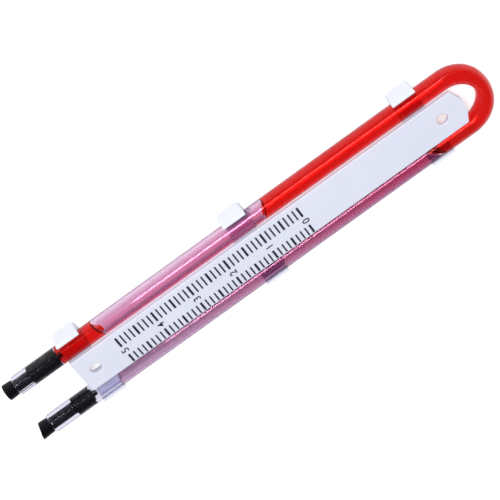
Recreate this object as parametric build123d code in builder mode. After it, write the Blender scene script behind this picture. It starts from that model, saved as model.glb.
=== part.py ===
"""U-tube manometer: a clear tube bent into a U, filled with red liquid, snapped into a moulded scale plate.

It lies on its back. +X runs along the legs towards the bend, +Y across them, +Z up towards the reader.
The origin is in the middle of the whole length, between the legs, on the surface the clips rest on.
The right leg is the +Y one and the left leg the -Y one, as they stand with the open ends up.
"""
import os
from math import acos, atan2, cos, degrees, hypot, radians, sin, sqrt

from build123d import *

os.makedirs("parts", exist_ok=True)

# Clear tube, bent hot into a U: straight legs, and a bend that flattens a little at its apex
tube_od = 6.0
tube_wall = 1.0
leg_spacing = 17.5
mouth_x = -77.35
bend_x = 70.85
apex_flattening = 0.6
apex_swelling = 0.25
tube_bend_step = 15
mouth_outer_chamfer = 0.45
mouth_inner_chamfer = 0.2

# Flat scale plate, which lies between the legs and a little above their centre lines
plate_left_x = -61.05
plate_right_x = 72.6
plate_thickness = 1.3
plate_rise = 1.85
plate_leg_gap = 0.31
end_chamfer_length = 1.8
end_chamfer_width = 4.1
end_blend = 0.8
left_corner_round = 0.5
plate_edge_round = 0.2
hole_radius = 1.75
hole_spacing = 121.05
first_hole_inset = 5.05
hole_edge_chamfer = 0.15

# Snap clips, moulded in one piece with the plate: three stations, one clip for each leg
clip_stations = 3
clip_width = 7.6
clip_pitch = 58.3
clip_floor = 1.2
clip_wall = 0.75
clip_clearance = 0.05
clip_wrap = 25
foot_overhang = 1.55
foot_corner_round = 1.3
clip_root_round = 0.45

# Rubber plugs, pushed into the mouths: a flared head, a thin neck and a body that seals the bore
plug_head_radius = 2.55
plug_waist_radius = 2.3
plug_neck_radius = 1.85
plug_clearance = 0.03
plug_tip_radius = 0.85
plug_tip_length = 1.35
plug_rim_chamfer = 0.2
plug_tip_chamfer = 0.2
plug_seat_gap = 0.05
right_head_length = 3.4
right_neck_length = 5.0
right_body_length = 10.1
left_head_length = 3.9
left_neck_length = 8.3
left_body_length = 6.5
left_head_slant = 16.5

# Red liquid: a short slug trapped behind the right plug, an air bubble, and the long column round the bend
liquid_film = 0.06
liquid_bend_step = 15
slug_end_x = -48.2
column_start_x = 10.0
column_end_x = 59.5
liquid_plug_gap = 0.1
meniscus_radius = 4.0
meniscus_tilt = 24

tube_radius = tube_od / 2
bore_radius = tube_radius - tube_wall
leg_y = leg_spacing / 2
cradle_radius = tube_radius + clip_clearance
arm_radius = cradle_radius + clip_wall
tube_z = clip_floor + cradle_radius
plate_bottom_z = tube_z + plate_rise
plate_half_width = leg_y - sqrt((tube_radius + plate_leg_gap) ** 2 - plate_rise**2)
flat_end_half = plate_half_width - end_chamfer_width
first_hole_x = plate_left_x + first_hole_inset
clip_root_y = leg_y - arm_radius
foot_y = leg_y + cradle_radius + foot_overhang
clip_plan_depth = 2 * foot_y
foot_turn = degrees(atan2(-tube_z, foot_y - leg_y))
right_body_end_x = mouth_x + right_neck_length + right_body_length
slug_start_x = right_body_end_x + liquid_plug_gap
meniscus_reach = meniscus_radius * cos(radians(meniscus_tilt))
meniscus_offset = meniscus_radius * sin(radians(meniscus_tilt))
back_turn = foot_turn + degrees(acos(arm_radius / hypot(foot_y - leg_y, tube_z)))


def bend_sections(inset, step):
    """Sections of the bend, one each step degrees: round where it meets the legs, flatter towards the apex."""
    sections = []
    for angle in range(0, 181, step):
        turn = radians(angle)
        share = sin(turn) ** 4
        place = Plane(
            origin=(bend_x + leg_y * sin(turn), leg_y * cos(turn), tube_z),
            x_dir=(0, 0, 1),
            z_dir=(cos(turn), -sin(turn), 0),
        )
        half_height = tube_radius + apex_swelling * share - inset
        half_width = tube_radius - apex_flattening * share - inset
        with BuildSketch(place) as section:
            Ellipse(half_height, half_width)
        sections.append(section.sketch)
    return sections


def straight_legs(inset, right_end_x, left_end_x, mode):
    """Both legs as solid rods, from the ends given to the bend, their surface set in from the tube's outside."""
    for end_x, side in ((right_end_x, 1), (left_end_x, -1)):
        with BuildSketch(Plane.YZ.offset(end_x)) as leg_section:
            with Locations((side * leg_y, tube_z)):
                Circle(tube_radius - inset)
        extrude(leg_section.sketch, amount=bend_x - end_x, mode=mode)


# Clear tube: the outside, then the bore along the same path, then the edges of its mouths taken off
with BuildPart() as u_tube:
    with BuildLine(Plane.XY.offset(tube_z)) as centre_line:
        CenterArc((bend_x, 0), leg_y, 90, -180)
    for inset, mode in ((0, Mode.ADD), (tube_wall, Mode.SUBTRACT)):
        sweep(bend_sections(inset, tube_bend_step), centre_line.wire(), multisection=True, mode=mode)
        straight_legs(inset, mouth_x, mouth_x, mode)
    mouths = u_tube.faces().sort_by(Axis.X)[:2]
    chamfer([mouth.outer_wire().edge() for mouth in mouths], mouth_outer_chamfer)
    mouths = u_tube.faces().sort_by(Axis.X)[:2]
    chamfer([mouth.inner_wires()[0].edge() for mouth in mouths], mouth_inner_chamfer)
u_tube.part.label = "u_tube"
export_step(u_tube.part, "parts/u_tube.step")


# Scale plate: a flat strip with its bend end chamfered, two screw holes, and six cradles below its edges
with BuildPart() as scale_plate:
    with BuildSketch(Plane.XY.offset(plate_bottom_z)) as outline:
        with BuildLine():
            Polyline(
                (plate_left_x, plate_half_width),
                (plate_right_x - end_chamfer_length, plate_half_width),
                (plate_right_x, flat_end_half),
                (plate_right_x, -flat_end_half),
                (plate_right_x - end_chamfer_length, -plate_half_width),
                (plate_left_x, -plate_half_width),
                close=True,
            )
        make_face()
        fillet(outline.vertices().group_by(Axis.X)[0], left_corner_round)
        fillet(outline.vertices().group_by(Axis.X)[-1], end_blend)
        with Locations((first_hole_x, 0), (first_hole_x + hole_spacing, 0)):
            Circle(hole_radius, mode=Mode.SUBTRACT)
    extrude(amount=plate_thickness)
    top_face = scale_plate.faces().sort_by(Axis.Z)[-1]
    chamfer(top_face.inner_wires().edges(), hole_edge_chamfer)
    top_face = scale_plate.faces().sort_by(Axis.Z)[-1]
    fillet(top_face.outer_wire().edges(), plate_edge_round)

    for station in range(clip_stations):
        station_x = plate_left_x + clip_width / 2 + station * clip_pitch
        with BuildSketch(Plane.YZ.offset(station_x)) as clip_profile:
            with BuildLine():
                Line((clip_root_y - clip_root_round, plate_bottom_z), (leg_y - cradle_radius, plate_bottom_z))
                Line((leg_y - cradle_radius, plate_bottom_z), (leg_y - cradle_radius, tube_z))
                cradle = CenterArc((leg_y, tube_z), cradle_radius, 180, 180 + clip_wrap)
                back = CenterArc((leg_y, tube_z), arm_radius, clip_wrap, back_turn - clip_wrap)
                TangentArc(cradle @ 1, back @ 0, tangent=cradle % 1)
                Line(back @ 1, (foot_y, 0))
                Line((foot_y, 0), (clip_root_y, 0))
                Line((clip_root_y, 0), (clip_root_y, plate_bottom_z - clip_root_round))
                RadiusArc(
                    (clip_root_y, plate_bottom_z - clip_root_round),
                    (clip_root_y - clip_root_round, plate_bottom_z),
                    -clip_root_round,
                )
            make_face()
        with BuildPart(mode=Mode.PRIVATE) as clip:
            extrude(clip_profile.sketch, amount=clip_width / 2, both=True)
            with BuildSketch() as clip_plan:
                with Locations((station_x, foot_y - clip_plan_depth / 2)):
                    RectangleRounded(clip_width, clip_plan_depth, foot_corner_round)
            extrude(clip_plan.sketch, amount=plate_bottom_z, mode=Mode.INTERSECT)
        add(clip.part)
        add(clip.part.mirror(Plane.XZ))
scale_plate.part.label = "scale_plate"
export_step(scale_plate.part, "parts/scale_plate.step")


def turn_plug(plug, side, head_length, neck_length, body_length, head_slant):
    """Add a plug on its leg's centre line: head outside the mouth, neck and body inside, stub at the end."""
    cut_x = mouth_x - head_length
    blank_x = cut_x - plug_head_radius
    neck_end_x = mouth_x + neck_length
    body_end_x = neck_end_x + body_length
    body_radius = bore_radius - plug_clearance
    body_chamfer = body_radius - plug_neck_radius
    with BuildSketch(Plane(origin=(0, side * leg_y, tube_z))) as half_profile:
        with BuildLine():
            Polyline(
                (blank_x, 0),
                (blank_x, plug_head_radius),
                (cut_x, plug_head_radius),
                (mouth_x - plug_seat_gap, plug_waist_radius),
                (mouth_x - plug_seat_gap, plug_neck_radius),
                (neck_end_x, plug_neck_radius),
                (neck_end_x + body_chamfer, body_radius),
                (body_end_x, body_radius),
                (body_end_x, plug_tip_radius),
                (body_end_x + plug_tip_length, plug_tip_radius),
                (body_end_x + plug_tip_length, 0),
                close=True,
            )
        make_face()
    revolve(half_profile.sketch, Axis((0, side * leg_y, tube_z), (1, 0, 0)))
    slant = radians(head_slant)
    cut = Plane(origin=(cut_x, side * leg_y, tube_z), z_dir=(cos(slant), side * sin(slant), 0))
    split(bisect_by=cut, keep=Keep.TOP)
    chamfer(plug.faces().sort_by(Axis.X)[0].edges(), plug_rim_chamfer)
    chamfer(plug.faces().sort_by(Axis.X)[-1].edges(), plug_tip_chamfer)


# Right plug, its head cut square
with BuildPart() as plug_right:
    turn_plug(plug_right, 1, right_head_length, right_neck_length, right_body_length, 0)
plug_right.part.label = "plug_right"
export_step(plug_right.part, "parts/plug_right.step")


# Left plug, pushed in further, its head cut at a slant
with BuildPart() as plug_left:
    turn_plug(plug_left, -1, left_head_length, left_neck_length, left_body_length, left_head_slant)
plug_left.part.label = "plug_left"
export_step(plug_left.part, "parts/plug_left.step")


# Long liquid column: from the bubble in the right leg, round the bend, to its surface in the left leg
with BuildPart() as liquid_column:
    column_inset = tube_wall + liquid_film
    loft(bend_sections(column_inset, liquid_bend_step), ruled=True)
    straight_legs(column_inset, column_start_x - meniscus_reach, column_end_x - meniscus_reach, Mode.ADD)
    with Locations((column_start_x - meniscus_reach, leg_y + meniscus_offset, tube_z)):
        Sphere(meniscus_radius, mode=Mode.SUBTRACT)
    with Locations((column_end_x - meniscus_reach, -leg_y - meniscus_offset, tube_z)):
        Sphere(meniscus_radius, mode=Mode.SUBTRACT)
liquid_column.part.label = "liquid_column"
export_step(liquid_column.part, "parts/liquid_column.step")


# Liquid slug: between the right plug, whose stub it surrounds, and the bubble
with BuildPart() as liquid_slug:
    with BuildSketch(Plane.YZ.offset(slug_start_x)) as slug_section:
        with Locations((leg_y, tube_z)):
            Circle(bore_radius - liquid_film)
    extrude(amount=slug_end_x + meniscus_reach - slug_start_x)
    with BuildSketch(Plane.YZ.offset(slug_start_x)) as stub_pocket:
        with Locations((leg_y, tube_z)):
            Circle(plug_tip_radius + liquid_plug_gap)
    extrude(amount=plug_tip_length, mode=Mode.SUBTRACT)
    with Locations((slug_end_x + meniscus_reach, leg_y + meniscus_offset, tube_z)):
        Sphere(meniscus_radius, mode=Mode.SUBTRACT)
liquid_slug.part.label = "liquid_slug"
export_step(liquid_slug.part, "parts/liquid_slug.step")
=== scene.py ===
"""U-tube manometer: a clear bent tube of red oil, snapped into a white scale plate, with rubber plugs.

Sizes are in millimetres and are turned to metres by MM where they reach Blender. +X runs along the legs
towards the bend, +Y towards the right leg, +Z up towards the reader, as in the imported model.
"""
from math import atan, cos, pi, radians, sin, sqrt

import bpy
import bmesh
from mathutils import Matrix, Vector


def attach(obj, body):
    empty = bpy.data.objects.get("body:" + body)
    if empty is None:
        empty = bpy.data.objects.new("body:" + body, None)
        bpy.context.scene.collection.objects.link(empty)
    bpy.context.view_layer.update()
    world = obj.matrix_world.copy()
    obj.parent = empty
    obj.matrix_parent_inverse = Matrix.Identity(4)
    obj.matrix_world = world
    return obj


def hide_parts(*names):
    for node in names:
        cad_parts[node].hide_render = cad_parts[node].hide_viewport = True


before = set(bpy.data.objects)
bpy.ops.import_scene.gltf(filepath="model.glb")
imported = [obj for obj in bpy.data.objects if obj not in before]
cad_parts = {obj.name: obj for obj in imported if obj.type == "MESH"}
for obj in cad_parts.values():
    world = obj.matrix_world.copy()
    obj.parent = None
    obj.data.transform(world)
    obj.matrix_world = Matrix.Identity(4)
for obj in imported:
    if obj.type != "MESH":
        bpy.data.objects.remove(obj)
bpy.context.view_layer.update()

MM = 0.001
RIGHT = 1
LEFT = -1

# Clear tube, bent hot into a U whose section is flatter across and a little taller at the apex
TUBE_RADIUS = 3.0
TUBE_WALL = 1.0
LEG_Y = 8.75
TUBE_Z = 4.25
MOUTH_X = -77.35
BEND_X = 70.85
APEX_FLATTENING = 0.6
APEX_SWELLING = 0.25
MOUTH_ROUND = 0.6
BORE_ROUND = 0.2
ROUND_STEPS = 6
BEND_STEPS = 36
RING_POINTS = 72
SMOOTH_ANGLE = 40

# A ring this far before a bend or a round keeps the straight stretch straight in the shading
SUPPORT_GAP = 0.8

# Print on the scale plate: its ink stands a hair proud and is sunk a hair into the plate
PLATE_TOP = 7.4
PRINT_HEIGHT = 0.012
PRINT_SUNK = 0.01
TICK_COUNT = 41
TICK_PITCH = 1.5875
FIRST_TICK_X = -46.25
TICK_ROWS = ((0.75, 4.4), (-5.7, -2.7))
BOLD_EVERY = 4
BOLD_TICK_WIDTH = 0.68
FINE_TICK_WIDTH = 0.48
TICK_CORNER = 0.12
CORNER_STEPS = 3
NUMBER_EVERY = 8
HIGHEST_NUMBER = 5
NUMBER_Y = -0.97
NUMBER_HEIGHT = 2.3
TYPE_SIZE_OVER_HEIGHT = 1.37
NUMBER_WEIGHT = 0.03
NUMBER_WELD = 0.002

# Rubber plugs: a head that narrows to a waist at the mouth, then neck, body and a thin tip in the bore
PLUG_HEAD_RADIUS = 2.55
PLUG_WAIST_RADIUS = 2.3
PLUG_NECK_RADIUS = 1.85
PLUG_TIP_RADIUS = 0.85
PLUG_TIP_LENGTH = 1.35
PLUG_SQUEEZE = 0.01
PLUG_SEAT_GAP = 0.05
PLUG_EDGE_ROUND = 0.22
PLUG_EDGE_STEPS = 4
PLUG_EDGE_ANGLE = 50
PLUG_SMOOTH_ANGLE = 30

# How far each plug's head stands out, how long its neck and body are, and the slant of its cut in degrees
RIGHT_PLUG = {"head": 3.4, "neck": 5.0, "body": 10.1, "slant": 0}
LEFT_PLUG = {"head": 3.9, "neck": 8.3, "body": 6.5, "slant": 16.5}

# Red oil: it bites a hair into the wall it wets, and each end slopes by its slope, x over y
OIL_BITE = 0.02
SLUG_START_GAP = 0.02
SLUG_END_X = -48.2
SLUG_END_SLOPE = -0.49
COLUMN_START_X = 9.35
COLUMN_START_SLOPE = 0.46
COLUMN_END_X = 58.0
COLUMN_END_SLOPE = -1.4

# Rings of a meniscus, wall to middle: share of the bore's radius, and how far it sinks into the liquid
MENISCUS_STEPS = ((1.0, 0.0), (0.97, 0.2), (0.9, 0.42), (0.78, 0.62), (0.6, 0.8), (0.35, 0.93),
                  (0.1, 0.98))

# From a meniscus to the first straight ring behind it, further where the end slopes steeply
MENISCUS_ROOM = 3.0
STEEP_MENISCUS_ROOM = 6.0

# Films of oil left on the bore: their inner wall leans outwards, so they are thicker towards the plate
FILM_THICKNESS = 0.13
FILM_LEAN = 0.1
FRESH_FILM_START_GAP = 0.4
FRESH_FILM_END_GAP = 0.3
OLD_FILM_START_X = -53.3
OLD_FILM_START_SLOPE = 0.3
OLD_FILM_END_GAP = 0.6

# Where along the tube a film is at its palest and at its reddest
FILM_DRY_X = -50.0
FILM_WET_X = 55.0

# Camera at the photograph's viewing angle, with its tilts and turns in degrees
CAMERA_LENS = 142.08
CAMERA_SENSOR = 36
CAMERA_TARGET = (-0.645, 0.005, 4.25)
CAMERA_DISTANCE = 561.69
CAMERA_TILT = 32.89
CAMERA_SIDE = 4.55
CAMERA_ROLL = -0.085
PICTURE_TURN = 35.6
CAMERA_NEAR = 10.0
CAMERA_FAR = 20000.0

# Floor and room: LIGHT is what lights the object, GLOW and SEEN are what shows, straight or in glass
FLOOR_WIDTH = 6000.0
FLOOR_WHITE = 0.8
FLOOR_GLOW = 0.42
FLOOR_GLOW_IN_GLASS = 0.3
WALL_LIGHT = 0.4
WALL_SEEN = 1.0
CEILING_LIGHT = 0.45
CEILING_SEEN = 0.12

# Heights of a direction, from 0 level to 1 overhead, between which wall turns to ceiling
WALL_TOP = 0.1
CEILING_EDGE = 0.5

# Lamps on the right leg's side: metres, watts, and degrees of lean from overhead
SOFTBOX_SIZE = (1.4, 0.04)
SOFTBOX_DISTANCE = 0.65
SOFTBOX_LEAN = 45
SOFTBOX_POWER = 0.9
KEY_SIZE = (0.3, 0.3)
KEY_DISTANCE = 0.8
KEY_LEAN = 35
KEY_POWER = 4.6


def colour(code):
    """Linear RGBA of an sRGB hex colour."""
    parts = [int(code[i:i + 2], 16) / 255 for i in (1, 3, 5)]
    linear = [p / 12.92 if p <= 0.04045 else ((p + 0.055) / 1.055) ** 2.4 for p in parts]
    return (*linear, 1.0)


def feature(size):
    """Scale of a noise whose features are size millimetres across."""
    return 1 / (size * MM)


def add_node(tree, kind, values=None, links=None, **settings):
    """Add a node: settings are its own properties, values its plain sockets and links its linked ones."""
    node = tree.nodes.new(kind)
    for setting, value in settings.items():
        setattr(node, setting, value)
    for socket, value in (values or {}).items():
        node.inputs[socket].default_value = value
    for socket, source in (links or {}).items():
        tree.links.new(source, node.inputs[socket])
    return node


def new_material(name):
    """An empty node material and its tree."""
    material = bpy.data.materials.new(name)
    material.use_nodes = True
    material.node_tree.nodes.clear()
    return material, material.node_tree


def lit_through(tree, surface, tint):
    """Let light from lamps and walls pass a clear piece, tinted, on its way to what lies behind it."""
    rays = add_node(tree, "ShaderNodeLightPath").outputs
    light = add_node(tree, "ShaderNodeMath", links={0: rays["Is Shadow Ray"], 1: rays["Is Diffuse Ray"]},
                     operation="MAXIMUM")
    clear = add_node(tree, "ShaderNodeBsdfTransparent", {"Color": tint})
    return add_node(tree, "ShaderNodeMixShader",
                    links={0: light.outputs[0], 1: surface.outputs[0], 2: clear.outputs[0]})


def moulded_polystyrene():
    """White polystyrene, injection moulded: cool white, satin, and faintly cloudy as thin mouldings are."""
    material, tree = new_material("moulded_white_polystyrene")
    place = add_node(tree, "ShaderNodeTexCoord").outputs["Object"]
    # Flow of the melt, in clouds of 11 mm
    cloud = add_node(tree, "ShaderNodeTexNoise", {"Scale": feature(11.1), "Detail": 3.0}, {"Vector": place})
    tint = add_node(tree, "ShaderNodeMix", {6: colour("#D9DCEB"), 7: colour("#E0E3F1")},
                    {0: cloud.outputs["Fac"]}, data_type="RGBA")
    gloss = add_node(tree, "ShaderNodeMapRange", {"To Min": 0.34, "To Max": 0.46},
                     {"Value": cloud.outputs["Fac"]})
    # Grain of the moulded skin, drawn at 0.4 mm so that it shows
    grain = add_node(tree, "ShaderNodeTexNoise", {"Scale": feature(0.4), "Detail": 2.0}, {"Vector": place})
    skin = add_node(tree, "ShaderNodeBump", {"Strength": 0.08, "Distance": 0.02 * MM},
                    {"Height": grain.outputs["Fac"]})
    surface = add_node(tree, "ShaderNodeBsdfPrincipled",
                       {"IOR": 1.55, "Subsurface Weight": 0.5, "Subsurface Radius": (1.0, 1.0, 1.0),
                        "Subsurface Scale": 0.8 * MM},
                       {"Base Color": tint.outputs[2], "Roughness": gloss.outputs[0],
                        "Normal": skin.outputs[0]})
    add_node(tree, "ShaderNodeOutputMaterial", links={"Surface": surface.outputs[0]})
    return material


def extruded_acrylic():
    """Clear acrylic tube, extruded: faint die lines along the legs, lilac grey where it is seen edge on."""
    material, tree = new_material("extruded_clear_acrylic")
    place = add_node(tree, "ShaderNodeTexCoord").outputs["Object"]
    # Die lines 1.1 mm apart, each some 80 mm long
    along = add_node(tree, "ShaderNodeMapping", {"Scale": (feature(83.3), feature(1.11), feature(1.11))},
                     {"Vector": place})
    lines = add_node(tree, "ShaderNodeTexNoise", {"Scale": 1.0, "Detail": 2.0}, {"Vector": along.outputs[0]})
    gloss = add_node(tree, "ShaderNodeMapRange", {"To Min": 0.0, "To Max": 0.05},
                     {"Value": lines.outputs["Fac"]})
    tint = add_node(tree, "ShaderNodeMix", {6: colour("#F8F7FC"), 7: colour("#FEFEFF")},
                    {0: lines.outputs["Fac"]}, data_type="RGBA")
    surface = add_node(tree, "ShaderNodeBsdfPrincipled",
                       {"IOR": 1.49, "Transmission Weight": 1.0, "Specular Tint": (0.5, 0.5, 0.5, 1.0)},
                       {"Base Color": tint.outputs[2], "Roughness": gloss.outputs[0]})
    body = lit_through(tree, surface, colour("#FFFFFF"))
    haze = add_node(tree, "ShaderNodeVolumeAbsorption", {"Color": colour("#D2CCE8"), "Density": 270.0})
    add_node(tree, "ShaderNodeOutputMaterial", links={"Surface": body.outputs[0], "Volume": haze.outputs[0]})
    return material


def red_gauge_oil():
    """Dyed gauge oil: clear bright red right through. Its shine and inner reflections are tinted red, a
    painted reflection colour.
    """
    material, tree = new_material("red_gauge_oil")
    place = add_node(tree, "ShaderNodeTexCoord").outputs["Object"]
    # Dye that is a little uneven over 17 mm
    cloud = add_node(tree, "ShaderNodeTexNoise", {"Scale": feature(16.7), "Detail": 1.0}, {"Vector": place})
    tint = add_node(tree, "ShaderNodeMix", {6: colour("#FA2A22"), 7: colour("#FF3428")},
                    {0: cloud.outputs["Fac"]}, data_type="RGBA")
    # Specular tint: painted reflection, which colours the oil's shine and inner reflections red
    surface = add_node(tree, "ShaderNodeBsdfPrincipled",
                       {"IOR": 1.45, "Roughness": 0.0, "Transmission Weight": 1.0,
                        "Specular Tint": colour("#F05048")},
                       {"Base Color": tint.outputs[2]})
    body = lit_through(tree, surface, colour("#FF8078"))
    dye = add_node(tree, "ShaderNodeVolumeAbsorption", {"Color": colour("#FF2020"), "Density": 60.0})
    add_node(tree, "ShaderNodeOutputMaterial", links={"Surface": body.outputs[0], "Volume": dye.outputs[0]})
    return material


def oil_film(name, dye_and_shade_colour, dye_and_shade_density, wet_colour):
    """A film of dyed oil that clings to the bore, streaky along it and redder towards the bend."""
    material, tree = new_material(name)
    place = add_node(tree, "ShaderNodeTexCoord").outputs["Object"]
    # Streaks 1.4 mm apart, each some 17 mm long
    along = add_node(tree, "ShaderNodeMapping", {"Scale": (feature(16.7), feature(1.43), feature(1.43))},
                     {"Vector": place})
    streaks = add_node(tree, "ShaderNodeTexNoise", {"Scale": 1.0, "Detail": 3.0},
                       {"Vector": along.outputs[0]})
    clear = add_node(tree, "ShaderNodeMix", {6: colour("#FFFFFF"), 7: colour("#FFEEF2")},
                     {0: streaks.outputs["Fac"]}, data_type="RGBA")
    spread = add_node(tree, "ShaderNodeSeparateXYZ", links={0: place})
    wetness = add_node(tree, "ShaderNodeMapRange",
                       {"From Min": FILM_DRY_X * MM, "From Max": FILM_WET_X * MM,
                        "To Min": 0.0, "To Max": 1.0},
                       {"Value": spread.outputs["X"]})
    tint = add_node(tree, "ShaderNodeMix", {7: colour(wet_colour)},
                    {0: wetness.outputs[0], 6: clear.outputs[2]}, data_type="RGBA")
    # Specular tint: painted reflection, which colours the film's shine and inner reflections pink
    surface = add_node(tree, "ShaderNodeBsdfPrincipled",
                       {"IOR": 1.45, "Roughness": 0.0, "Transmission Weight": 1.0,
                        "Specular Tint": colour("#F4B0D0")},
                       {"Base Color": tint.outputs[2]})
    body = lit_through(tree, surface, colour("#FFFFFF"))
    # Dye absorption: real dye in the fresh film, and in the left leg's film painted shade as well
    dye = add_node(tree, "ShaderNodeVolumeAbsorption", {"Color": colour(dye_and_shade_colour), "Density": dye_and_shade_density})
    add_node(tree, "ShaderNodeOutputMaterial", links={"Surface": body.outputs[0], "Volume": dye.outputs[0]})
    return material


def moulded_rubber():
    """Black rubber, moulded: blue-black and dull, a little greyer where it has been handled."""
    material, tree = new_material("moulded_black_rubber")
    place = add_node(tree, "ShaderNodeTexCoord").outputs["Object"]
    # Bloom and dust in spots of 1.4 mm
    dust = add_node(tree, "ShaderNodeTexNoise", {"Scale": feature(1.43), "Detail": 4.0}, {"Vector": place})
    tint = add_node(tree, "ShaderNodeMix", {6: colour("#020208"), 7: colour("#07070F")},
                    {0: dust.outputs["Fac"]}, data_type="RGBA")
    gloss = add_node(tree, "ShaderNodeMapRange", {"To Min": 0.45, "To Max": 0.7},
                     {"Value": dust.outputs["Fac"]})
    skin = add_node(tree, "ShaderNodeBump", {"Strength": 0.05, "Distance": 0.02 * MM},
                    {"Height": dust.outputs["Fac"]})
    surface = add_node(tree, "ShaderNodeBsdfPrincipled", {"IOR": 1.52, "Specular IOR Level": 0.2},
                       {"Base Color": tint.outputs[2], "Roughness": gloss.outputs[0],
                        "Normal": skin.outputs[0]})
    add_node(tree, "ShaderNodeOutputMaterial", links={"Surface": surface.outputs[0]})
    return material


def pad_printed_ink():
    """Pad-printed ink: navy black, thinner and paler here and there, with a soft gloss."""
    material, tree = new_material("pad_printed_navy_ink")
    place = add_node(tree, "ShaderNodeTexCoord").outputs["Object"]
    # Thin spots 0.6 mm across, where the pad left less ink
    cover = add_node(tree, "ShaderNodeTexNoise", {"Scale": feature(0.625), "Detail": 2.0}, {"Vector": place})
    tint = add_node(tree, "ShaderNodeMix", {6: colour("#14162A"), 7: colour("#2A2D45")},
                    {0: cover.outputs["Fac"]}, data_type="RGBA")
    gloss = add_node(tree, "ShaderNodeMapRange", {"To Min": 0.4, "To Max": 0.6},
                     {"Value": cover.outputs["Fac"]})
    surface = add_node(tree, "ShaderNodeBsdfPrincipled", {"IOR": 1.5},
                       {"Base Color": tint.outputs[2], "Roughness": gloss.outputs[0]})
    add_node(tree, "ShaderNodeOutputMaterial", links={"Surface": surface.outputs[0]})
    return material


def deselect_all():
    """Leave nothing selected, in object mode."""
    bpy.ops.object.select_all(action="DESELECT")


def select_only(piece):
    """Make one piece the selected and active one."""
    deselect_all()
    piece.select_set(True)
    bpy.context.view_layer.objects.active = piece


def face_outwards():
    """In edit mode, turn every face of the piece outwards."""
    bpy.ops.mesh.select_all(action="SELECT")
    bpy.ops.mesh.normals_make_consistent(inside=False)


def settle(piece, name, material, body):
    """Name a finished piece, put its place into its mesh, give it its finish and let it ride on its body."""
    select_only(piece)
    bpy.ops.object.transform_apply(location=True, rotation=True, scale=True)
    piece.name = name
    piece.data.name = name
    piece.data.materials.clear()
    piece.data.materials.append(material)
    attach(piece, body)


def leg_ring(x, side, inset, slope=0.0, aside=0.0):
    """A ring round a leg at x, set in from the tube's outside, and sloped, x over y, or moved outwards."""
    radius = TUBE_RADIUS - inset
    return {
        "at": (x, side * (LEG_Y + aside), TUBE_Z),
        "turn": atan(slope) + (pi if side == LEFT else 0),
        "wide": radius * sqrt(1 + slope ** 2),
        "high": radius,
    }


def rings_of_bend(inset):
    """Rings round the bend, from the right leg to the left one: round at the legs, flatter at the apex."""
    rings = []
    for step in range(BEND_STEPS + 1):
        turn = pi * step / BEND_STEPS
        share = sin(turn) ** 4
        rings.append({
            "at": (BEND_X + LEG_Y * sin(turn), LEG_Y * cos(turn), TUBE_Z),
            "turn": turn,
            "wide": TUBE_RADIUS - APEX_FLATTENING * share - inset,
            "high": TUBE_RADIUS + APEX_SWELLING * share - inset,
        })
    return rings


def whole_path(inset, right_x, left_x):
    """Rings along both legs and the bend, from the right leg's end to the left leg's."""
    return ([leg_ring(x, RIGHT, inset) for x in (right_x, BEND_X - SUPPORT_GAP)]
            + rings_of_bend(inset)
            + [leg_ring(x, LEFT, inset) for x in (BEND_X - SUPPORT_GAP, left_x)])


def mouth_rings(side):
    """Rings round a mouth's melted rim, from the outside of the tube to its bore."""
    leans = [pi / 2 * step / ROUND_STEPS for step in range(ROUND_STEPS + 1)]
    outer = [leg_ring(MOUTH_X + MOUTH_ROUND * (1 - sin(lean)), side, MOUTH_ROUND * (1 - cos(lean)))
             for lean in leans]
    inner = [leg_ring(MOUTH_X + BORE_ROUND * (1 - cos(lean)), side,
                      TUBE_WALL - BORE_ROUND * (1 - sin(lean))) for lean in leans]
    return outer + inner


def meniscus_rings(x, side, inset, slope, into):
    """Rings of a liquid's end, wall to middle. The liquid lies towards +X where into is 1, -X where -1."""
    rings = []
    for share, sink in MENISCUS_STEPS:
        ring = leg_ring(x + into * sink, side, inset, slope)
        ring["wide"] *= share
        ring["high"] *= share
        rings.append(ring)
    return rings


def skin_over(rings, ends):
    """Model a skin from ring to ring by extruding the first. Its ends are closed, or joined together."""
    deselect_all()
    first = rings[0]
    bpy.ops.mesh.primitive_circle_add(vertices=RING_POINTS, radius=first["high"] * MM, fill_type="NOTHING",
                                      location=[v * MM for v in first["at"]], rotation=(0, pi / 2, 0))
    bpy.ops.object.transform_apply(location=True, rotation=True, scale=True)
    bpy.ops.object.mode_set(mode="EDIT")
    bpy.ops.mesh.select_mode(type="EDGE")
    bpy.ops.mesh.select_all(action="SELECT")
    plain_circle = dict(first, wide=first["high"], turn=0)
    reshape_ring(plain_circle, first)
    for previous, ring in zip(rings, rings[1:]):
        bpy.ops.mesh.extrude_edges_move()
        reshape_ring(previous, ring)
    select_open_edges(bpy.context.object)
    if ends == "joined":
        bpy.ops.mesh.bridge_edge_loops()
    else:
        bpy.ops.mesh.fill_holes(sides=RING_POINTS)
    face_outwards()
    return bpy.context.object


def reshape_ring(old, new):
    """Turn, widen and move the selected ring from its old place to its new one."""
    centre = [v * MM for v in old["at"]]
    bpy.ops.transform.rotate(value=-old["turn"], orient_axis="Z", center_override=centre)
    bpy.ops.transform.resize(value=(1, new["wide"] / old["wide"], new["high"] / old["high"]),
                             center_override=centre)
    bpy.ops.transform.rotate(value=new["turn"], orient_axis="Z", center_override=centre)
    bpy.ops.transform.translate(value=[(n - o) * MM for n, o in zip(new["at"], old["at"])])


def select_open_edges(piece):
    """In edit mode, select just the edges that only one face meets."""
    bpy.ops.mesh.select_all(action="DESELECT")
    mesh = bmesh.from_edit_mesh(piece.data)
    for edge in mesh.edges:
        if edge.is_boundary:
            edge.select_set(True)
    mesh.select_flush_mode()
    bmesh.update_edit_mesh(piece.data)


def finish_edit(piece, smooth_angle=SMOOTH_ANGLE):
    """Leave edit mode and smooth the piece's round faces."""
    bpy.ops.object.mode_set(mode="OBJECT")
    select_only(piece)
    bpy.ops.object.shade_smooth_by_angle(angle=radians(smooth_angle))


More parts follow.
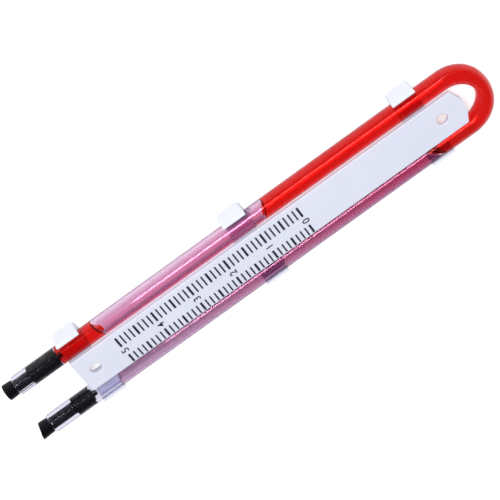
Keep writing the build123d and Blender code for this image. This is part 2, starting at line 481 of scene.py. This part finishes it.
def model_tube(material):
    """The clear tube: its outside, the left mouth's rim, its bore back again and the right mouth's rim."""
    leg_start = MOUTH_X + MOUTH_ROUND + SUPPORT_GAP
    outside = whole_path(0, leg_start, leg_start)
    bore = whole_path(TUBE_WALL, leg_start, leg_start)
    tube = skin_over(outside + mouth_rings(LEFT) + bore[::-1] + mouth_rings(RIGHT)[::-1], "joined")
    finish_edit(tube)
    settle(tube, "clear_tube", material, "tube")
    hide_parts("u_tube")


def model_column(material):
    """The long column: from the bubble in the right leg, round the bend, to its surface in the left leg."""
    inset = TUBE_WALL - OIL_BITE
    start = meniscus_rings(COLUMN_START_X, RIGHT, inset, COLUMN_START_SLOPE, 1)
    middle = whole_path(inset, COLUMN_START_X + MENISCUS_ROOM, COLUMN_END_X + STEEP_MENISCUS_ROOM)
    end = meniscus_rings(COLUMN_END_X, LEFT, inset, COLUMN_END_SLOPE, 1)
    column = skin_over(start[::-1] + middle + end, "closed")
    finish_edit(column)
    settle(column, "red_oil_column", material, "tube")
    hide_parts("liquid_column")


def model_slug(material):
    """The short slug between the right plug, whose tip it surrounds, and the bubble."""
    start_x = MOUTH_X + RIGHT_PLUG["neck"] + RIGHT_PLUG["body"] + SLUG_START_GAP
    inset = TUBE_WALL - OIL_BITE
    tip_inset = TUBE_RADIUS - PLUG_TIP_RADIUS - OIL_BITE
    pocket = [leg_ring(x, RIGHT, tip_inset) for x in (start_x + PLUG_TIP_LENGTH, start_x)]
    body = [leg_ring(x, RIGHT, inset) for x in (start_x, SLUG_END_X - MENISCUS_ROOM)]
    end = meniscus_rings(SLUG_END_X, RIGHT, inset, SLUG_END_SLOPE, -1)
    slug = skin_over(pocket + body + end, "closed")
    finish_edit(slug)
    settle(slug, "red_oil_slug", material, "tube")
    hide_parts("liquid_slug")


def model_film(name, material, side, start, end):
    """A film of oil on the bore between two sloped ends, thicker on the side that faces the plate."""
    inset = TUBE_WALL - OIL_BITE
    outer = [leg_ring(x, side, inset, slope) for x, slope in (start, end)]
    inner = [leg_ring(x, side, inset + FILM_THICKNESS, slope, FILM_LEAN) for x, slope in (end, start)]
    film = skin_over(outer + inner, "joined")
    finish_edit(film)
    settle(film, name, material, "tube")


def model_plug(name, material, side, sizes, node):
    """A turned rubber plug on its leg's centre line, its head cut square or at a slant."""
    slant = radians(sizes["slant"])
    cut_x = MOUTH_X - sizes["head"]
    neck_end = MOUTH_X + sizes["neck"]
    body_end = neck_end + sizes["body"]
    body_radius = TUBE_RADIUS - TUBE_WALL + PLUG_SQUEEZE
    stations = [
        (cut_x, PLUG_HEAD_RADIUS),
        (MOUTH_X - PLUG_SEAT_GAP, PLUG_WAIST_RADIUS),
        (MOUTH_X - PLUG_SEAT_GAP, PLUG_NECK_RADIUS),
        (neck_end, PLUG_NECK_RADIUS),
        (neck_end + body_radius - PLUG_NECK_RADIUS, body_radius),
        (body_end, body_radius),
        (body_end, PLUG_TIP_RADIUS),
        (body_end + PLUG_TIP_LENGTH, PLUG_TIP_RADIUS),
    ]
    if slant:
        stations.insert(0, (cut_x - PLUG_HEAD_RADIUS, PLUG_HEAD_RADIUS))
    plug = skin_over([leg_ring(x, side, TUBE_RADIUS - radius) for x, radius in stations], "closed")
    if slant:
        bpy.ops.mesh.bisect(plane_co=(cut_x * MM, side * LEG_Y * MM, TUBE_Z * MM),
                            plane_no=(cos(slant), side * sin(slant), 0), use_fill=True, clear_inner=True)
        face_outwards()
    bpy.ops.object.mode_set(mode="OBJECT")
    bevel = plug.modifiers.new("Bevel", "BEVEL")
    bevel.width = PLUG_EDGE_ROUND * MM
    bevel.segments = PLUG_EDGE_STEPS
    bevel.limit_method = "ANGLE"
    bevel.angle_limit = radians(PLUG_EDGE_ANGLE)
    bpy.ops.object.modifier_apply(modifier=bevel.name)
    finish_edit(plug, PLUG_SMOOTH_ANGLE)
    settle(plug, name, material, node)
    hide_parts(node)


def scale_x(index):
    """Where the scale's tick of that index stands along the plate."""
    return FIRST_TICK_X + index * TICK_PITCH


def print_tick(x, low, high, width):
    """One printed tick: a flat patch of ink with rounded corners."""
    deselect_all()
    bpy.ops.mesh.primitive_plane_add(
        size=1, location=(x * MM, (low + high) / 2 * MM, (PLATE_TOP - PRINT_SUNK) * MM))
    tick = bpy.context.object
    tick.scale = (width * MM, (high - low) * MM, 1)
    bpy.ops.object.transform_apply(location=True, rotation=True, scale=True)
    bpy.ops.object.mode_set(mode="EDIT")
    bpy.ops.mesh.select_all(action="SELECT")
    bpy.ops.mesh.bevel(offset=TICK_CORNER * MM, segments=CORNER_STEPS, affect="VERTICES")
    bpy.ops.mesh.select_all(action="SELECT")
    bpy.ops.mesh.extrude_region_move(
        TRANSFORM_OT_translate={"value": (0, 0, (PRINT_SUNK + PRINT_HEIGHT) * MM)})
    face_outwards()
    bpy.ops.object.mode_set(mode="OBJECT")
    return tick


def copy_along(pattern, distance):
    """A copy of a tick with its own mesh, moved along the plate."""
    tick = pattern.copy()
    tick.data = pattern.data.copy()
    tick.data.transform(Matrix.Translation((distance * MM, 0, 0)))
    bpy.context.collection.objects.link(tick)
    return tick


def join(pieces):
    """Join pieces into the first."""
    deselect_all()
    for piece in pieces:
        piece.select_set(True)
    bpy.context.view_layer.objects.active = pieces[0]
    bpy.ops.object.join()
    return pieces[0]


def print_ticks(material):
    """Two rows of ticks, every fourth one bold."""
    bold = [index for index in range(TICK_COUNT) if index % BOLD_EVERY == 0]
    fine = [index for index in range(TICK_COUNT) if index % BOLD_EVERY]
    ticks = []
    for low, high in TICK_ROWS:
        for indices, width in ((bold, BOLD_TICK_WIDTH), (fine, FINE_TICK_WIDTH)):
            first = scale_x(indices[0])
            pattern = print_tick(first, low, high, width)
            ticks.append(pattern)
            ticks += [copy_along(pattern, scale_x(index) - first) for index in indices[1:]]
    settle(join(ticks), "printed_ticks", material, "scale")


def print_number(text, x):
    """One printed number, its top towards the open ends, its middle at x."""
    deselect_all()
    bpy.ops.object.text_add(location=(0, 0, 0))
    number = bpy.context.object
    number.data.body = text
    number.data.size = NUMBER_HEIGHT * TYPE_SIZE_OVER_HEIGHT * MM
    number.data.align_x = "CENTER"
    number.data.align_y = "CENTER"
    number.data.extrude = (PRINT_SUNK + PRINT_HEIGHT) / 2 * MM
    number.data.offset = NUMBER_WEIGHT * MM
    bpy.ops.object.convert(target="MESH")
    number = bpy.context.object
    bpy.ops.object.mode_set(mode="EDIT")
    bpy.ops.mesh.select_all(action="SELECT")
    bpy.ops.mesh.remove_doubles(threshold=NUMBER_WELD * MM)
    bpy.ops.mesh.dissolve_degenerate(threshold=NUMBER_WELD * MM)
    bpy.ops.mesh.normals_make_consistent(inside=False)
    bpy.ops.object.mode_set(mode="OBJECT")
    corners = [Vector(corner) for corner in number.bound_box]
    lowest, highest = corners[0], corners[6]
    number.data.transform(Matrix.Translation(-(lowest + highest) / 2))
    number.rotation_euler = (0, 0, pi / 2)
    number.location = (x * MM, NUMBER_Y * MM, (PLATE_TOP + (PRINT_HEIGHT - PRINT_SUNK) / 2) * MM)
    bpy.ops.object.transform_apply(location=True, rotation=True, scale=True)
    return number


def print_numbers(material):
    """The numbers between the rows, highest first."""
    numbers = [print_number(str(HIGHEST_NUMBER - index // NUMBER_EVERY), scale_x(index))
               for index in range(0, TICK_COUNT, NUMBER_EVERY)]
    settle(join(numbers), "printed_numbers", material, "scale")


def place_camera():
    """Look at the plate from above and from the right leg's side, with the object rising to the right."""
    tilt = radians(CAMERA_TILT)
    side = radians(CAMERA_SIDE)
    back = Vector((sin(side), sin(tilt) * cos(side), cos(tilt) * cos(side)))
    level = (Vector((1, 0, 0)) - back * back.x).normalized()
    up = back.cross(level).normalized()
    turn = radians(CAMERA_ROLL - PICTURE_TURN)
    right = cos(turn) * level + sin(turn) * up
    top = back.cross(right)
    place = Vector(CAMERA_TARGET) * MM + back * CAMERA_DISTANCE * MM
    data = bpy.data.cameras.new("camera")
    data.lens = CAMERA_LENS
    data.sensor_width = CAMERA_SENSOR
    data.clip_start = CAMERA_NEAR * MM
    data.clip_end = CAMERA_FAR * MM
    camera = bpy.data.objects.new("camera", data)
    bpy.context.collection.objects.link(camera)
    camera.matrix_world = Matrix.Translation(place) @ Matrix((right, top, back)).transposed().to_4x4()
    bpy.context.scene.camera = camera


def seen_rays(tree, in_glass):
    """Share of the background that rays show: 1 seen straight, in_glass in a reflection or in the tube."""
    rays = add_node(tree, "ShaderNodeLightPath").outputs
    bent = add_node(tree, "ShaderNodeMath", links={0: rays["Is Glossy Ray"], 1: rays["Is Transmission Ray"]},
                    operation="MAXIMUM")
    share = add_node(tree, "ShaderNodeMath", {1: in_glass}, {0: bent.outputs[0]}, operation="MULTIPLY")
    seen = add_node(tree, "ShaderNodeMath", links={0: share.outputs[0], 1: rays["Is Camera Ray"]},
                    operation="MAXIMUM")
    return seen.outputs[0]


def lay_floor():
    """A white floor that keeps the object's shadow."""
    deselect_all()
    bpy.ops.mesh.primitive_plane_add(size=FLOOR_WIDTH * MM, location=(0, 0, 0))
    floor = bpy.context.object
    floor.name = "floor"
    material, tree = new_material("studio_floor")
    glow = add_node(tree, "ShaderNodeMath", {1: FLOOR_GLOW},
                    {0: seen_rays(tree, FLOOR_GLOW_IN_GLASS / FLOOR_GLOW)}, operation="MULTIPLY")
    surface = add_node(tree, "ShaderNodeBsdfPrincipled",
                       {"Base Color": (FLOOR_WHITE, FLOOR_WHITE, FLOOR_WHITE, 1), "Roughness": 1.0,
                        "Specular IOR Level": 0.0, "Emission Color": (1, 1, 1, 1)},
                       {"Emission Strength": glow.outputs[0]})
    add_node(tree, "ShaderNodeOutputMaterial", links={"Surface": surface.outputs[0]})
    floor.data.materials.append(material)


def light_room():
    """White walls under a dim ceiling, each with one strength as a light and another where it is seen."""
    world = bpy.data.worlds.new("studio")
    bpy.context.scene.world = world
    world.use_nodes = True
    tree = world.node_tree
    tree.nodes.clear()
    direction = add_node(tree, "ShaderNodeTexCoord").outputs["Generated"]
    height = add_node(tree, "ShaderNodeSeparateXYZ", links={0: direction}).outputs["Z"]
    seen = seen_rays(tree, 1.0)
    wall = add_node(tree, "ShaderNodeMapRange", {"To Min": WALL_LIGHT, "To Max": WALL_SEEN}, {"Value": seen})
    ceiling = add_node(tree, "ShaderNodeMapRange", {"To Min": CEILING_LIGHT, "To Max": CEILING_SEEN},
                       {"Value": seen})
    strength = add_node(tree, "ShaderNodeMapRange", {"From Min": WALL_TOP, "From Max": CEILING_EDGE},
                        {"Value": height, "To Min": wall.outputs[0], "To Max": ceiling.outputs[0]})
    light = add_node(tree, "ShaderNodeBackground", {"Color": (1, 1, 1, 1)},
                     {"Strength": strength.outputs[0]})
    add_node(tree, "ShaderNodeOutputWorld", links={"Surface": light.outputs[0]})


def hang_lamp(name, size, distance, lean, power):
    """A rectangular lamp on the right leg's side, turned to the object."""
    data = bpy.data.lights.new(name, "AREA")
    data.shape = "RECTANGLE"
    data.size, data.size_y = size
    data.energy = power
    lamp = bpy.data.objects.new(name, data)
    lamp.location = (0, distance * sin(radians(lean)), distance * cos(radians(lean)))
    lamp.rotation_euler = (-radians(lean), 0, 0)
    bpy.context.collection.objects.link(lamp)
    return lamp


def set_studio():
    """Floor, room, a long softbox, and a key lamp that shows in no reflection."""
    lay_floor()
    light_room()
    hang_lamp("softbox", SOFTBOX_SIZE, SOFTBOX_DISTANCE, SOFTBOX_LEAN, SOFTBOX_POWER)
    key = hang_lamp("key_lamp", KEY_SIZE, KEY_DISTANCE, KEY_LEAN, KEY_POWER)
    key.visible_glossy = False


acrylic = extruded_acrylic()
oil = red_gauge_oil()
fresh_film = oil_film("fresh_film_of_red_oil", dye_and_shade_colour="#FF10A8", dye_and_shade_density=1900.0, wet_colour="#FFE0E6")
# The left leg's film gets a dark purple dye and a dense absorption: painted shade that stands in for the
# plate's shadow over the left leg
left_film_with_painted_shade = oil_film("left_film_with_painted_plate_shadow", dye_and_shade_colour="#B850A8", dye_and_shade_density=4000.0, wet_colour="#FFA8BC")
rubber = moulded_rubber()
ink = pad_printed_ink()

scale_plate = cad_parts["scale_plate"]
scale_plate.data.materials.clear()
scale_plate.data.materials.append(moulded_polystyrene())

model_tube(acrylic)
model_column(oil)
model_slug(oil)
model_film("film_under_bubble", fresh_film, RIGHT,
           (SLUG_END_X + FRESH_FILM_START_GAP, SLUG_END_SLOPE),
           (COLUMN_START_X - FRESH_FILM_END_GAP, COLUMN_START_SLOPE))
model_film("film_in_left_leg", left_film_with_painted_shade, LEFT,
           (OLD_FILM_START_X, OLD_FILM_START_SLOPE),
           (COLUMN_END_X - OLD_FILM_END_GAP, COLUMN_END_SLOPE))
model_plug("right_plug", rubber, RIGHT, RIGHT_PLUG, "plug_right")
model_plug("left_plug", rubber, LEFT, LEFT_PLUG, "plug_left")
print_ticks(ink)
print_numbers(ink)

place_camera()
set_studio()
bpy.context.scene.view_settings.view_transform = "Standard"
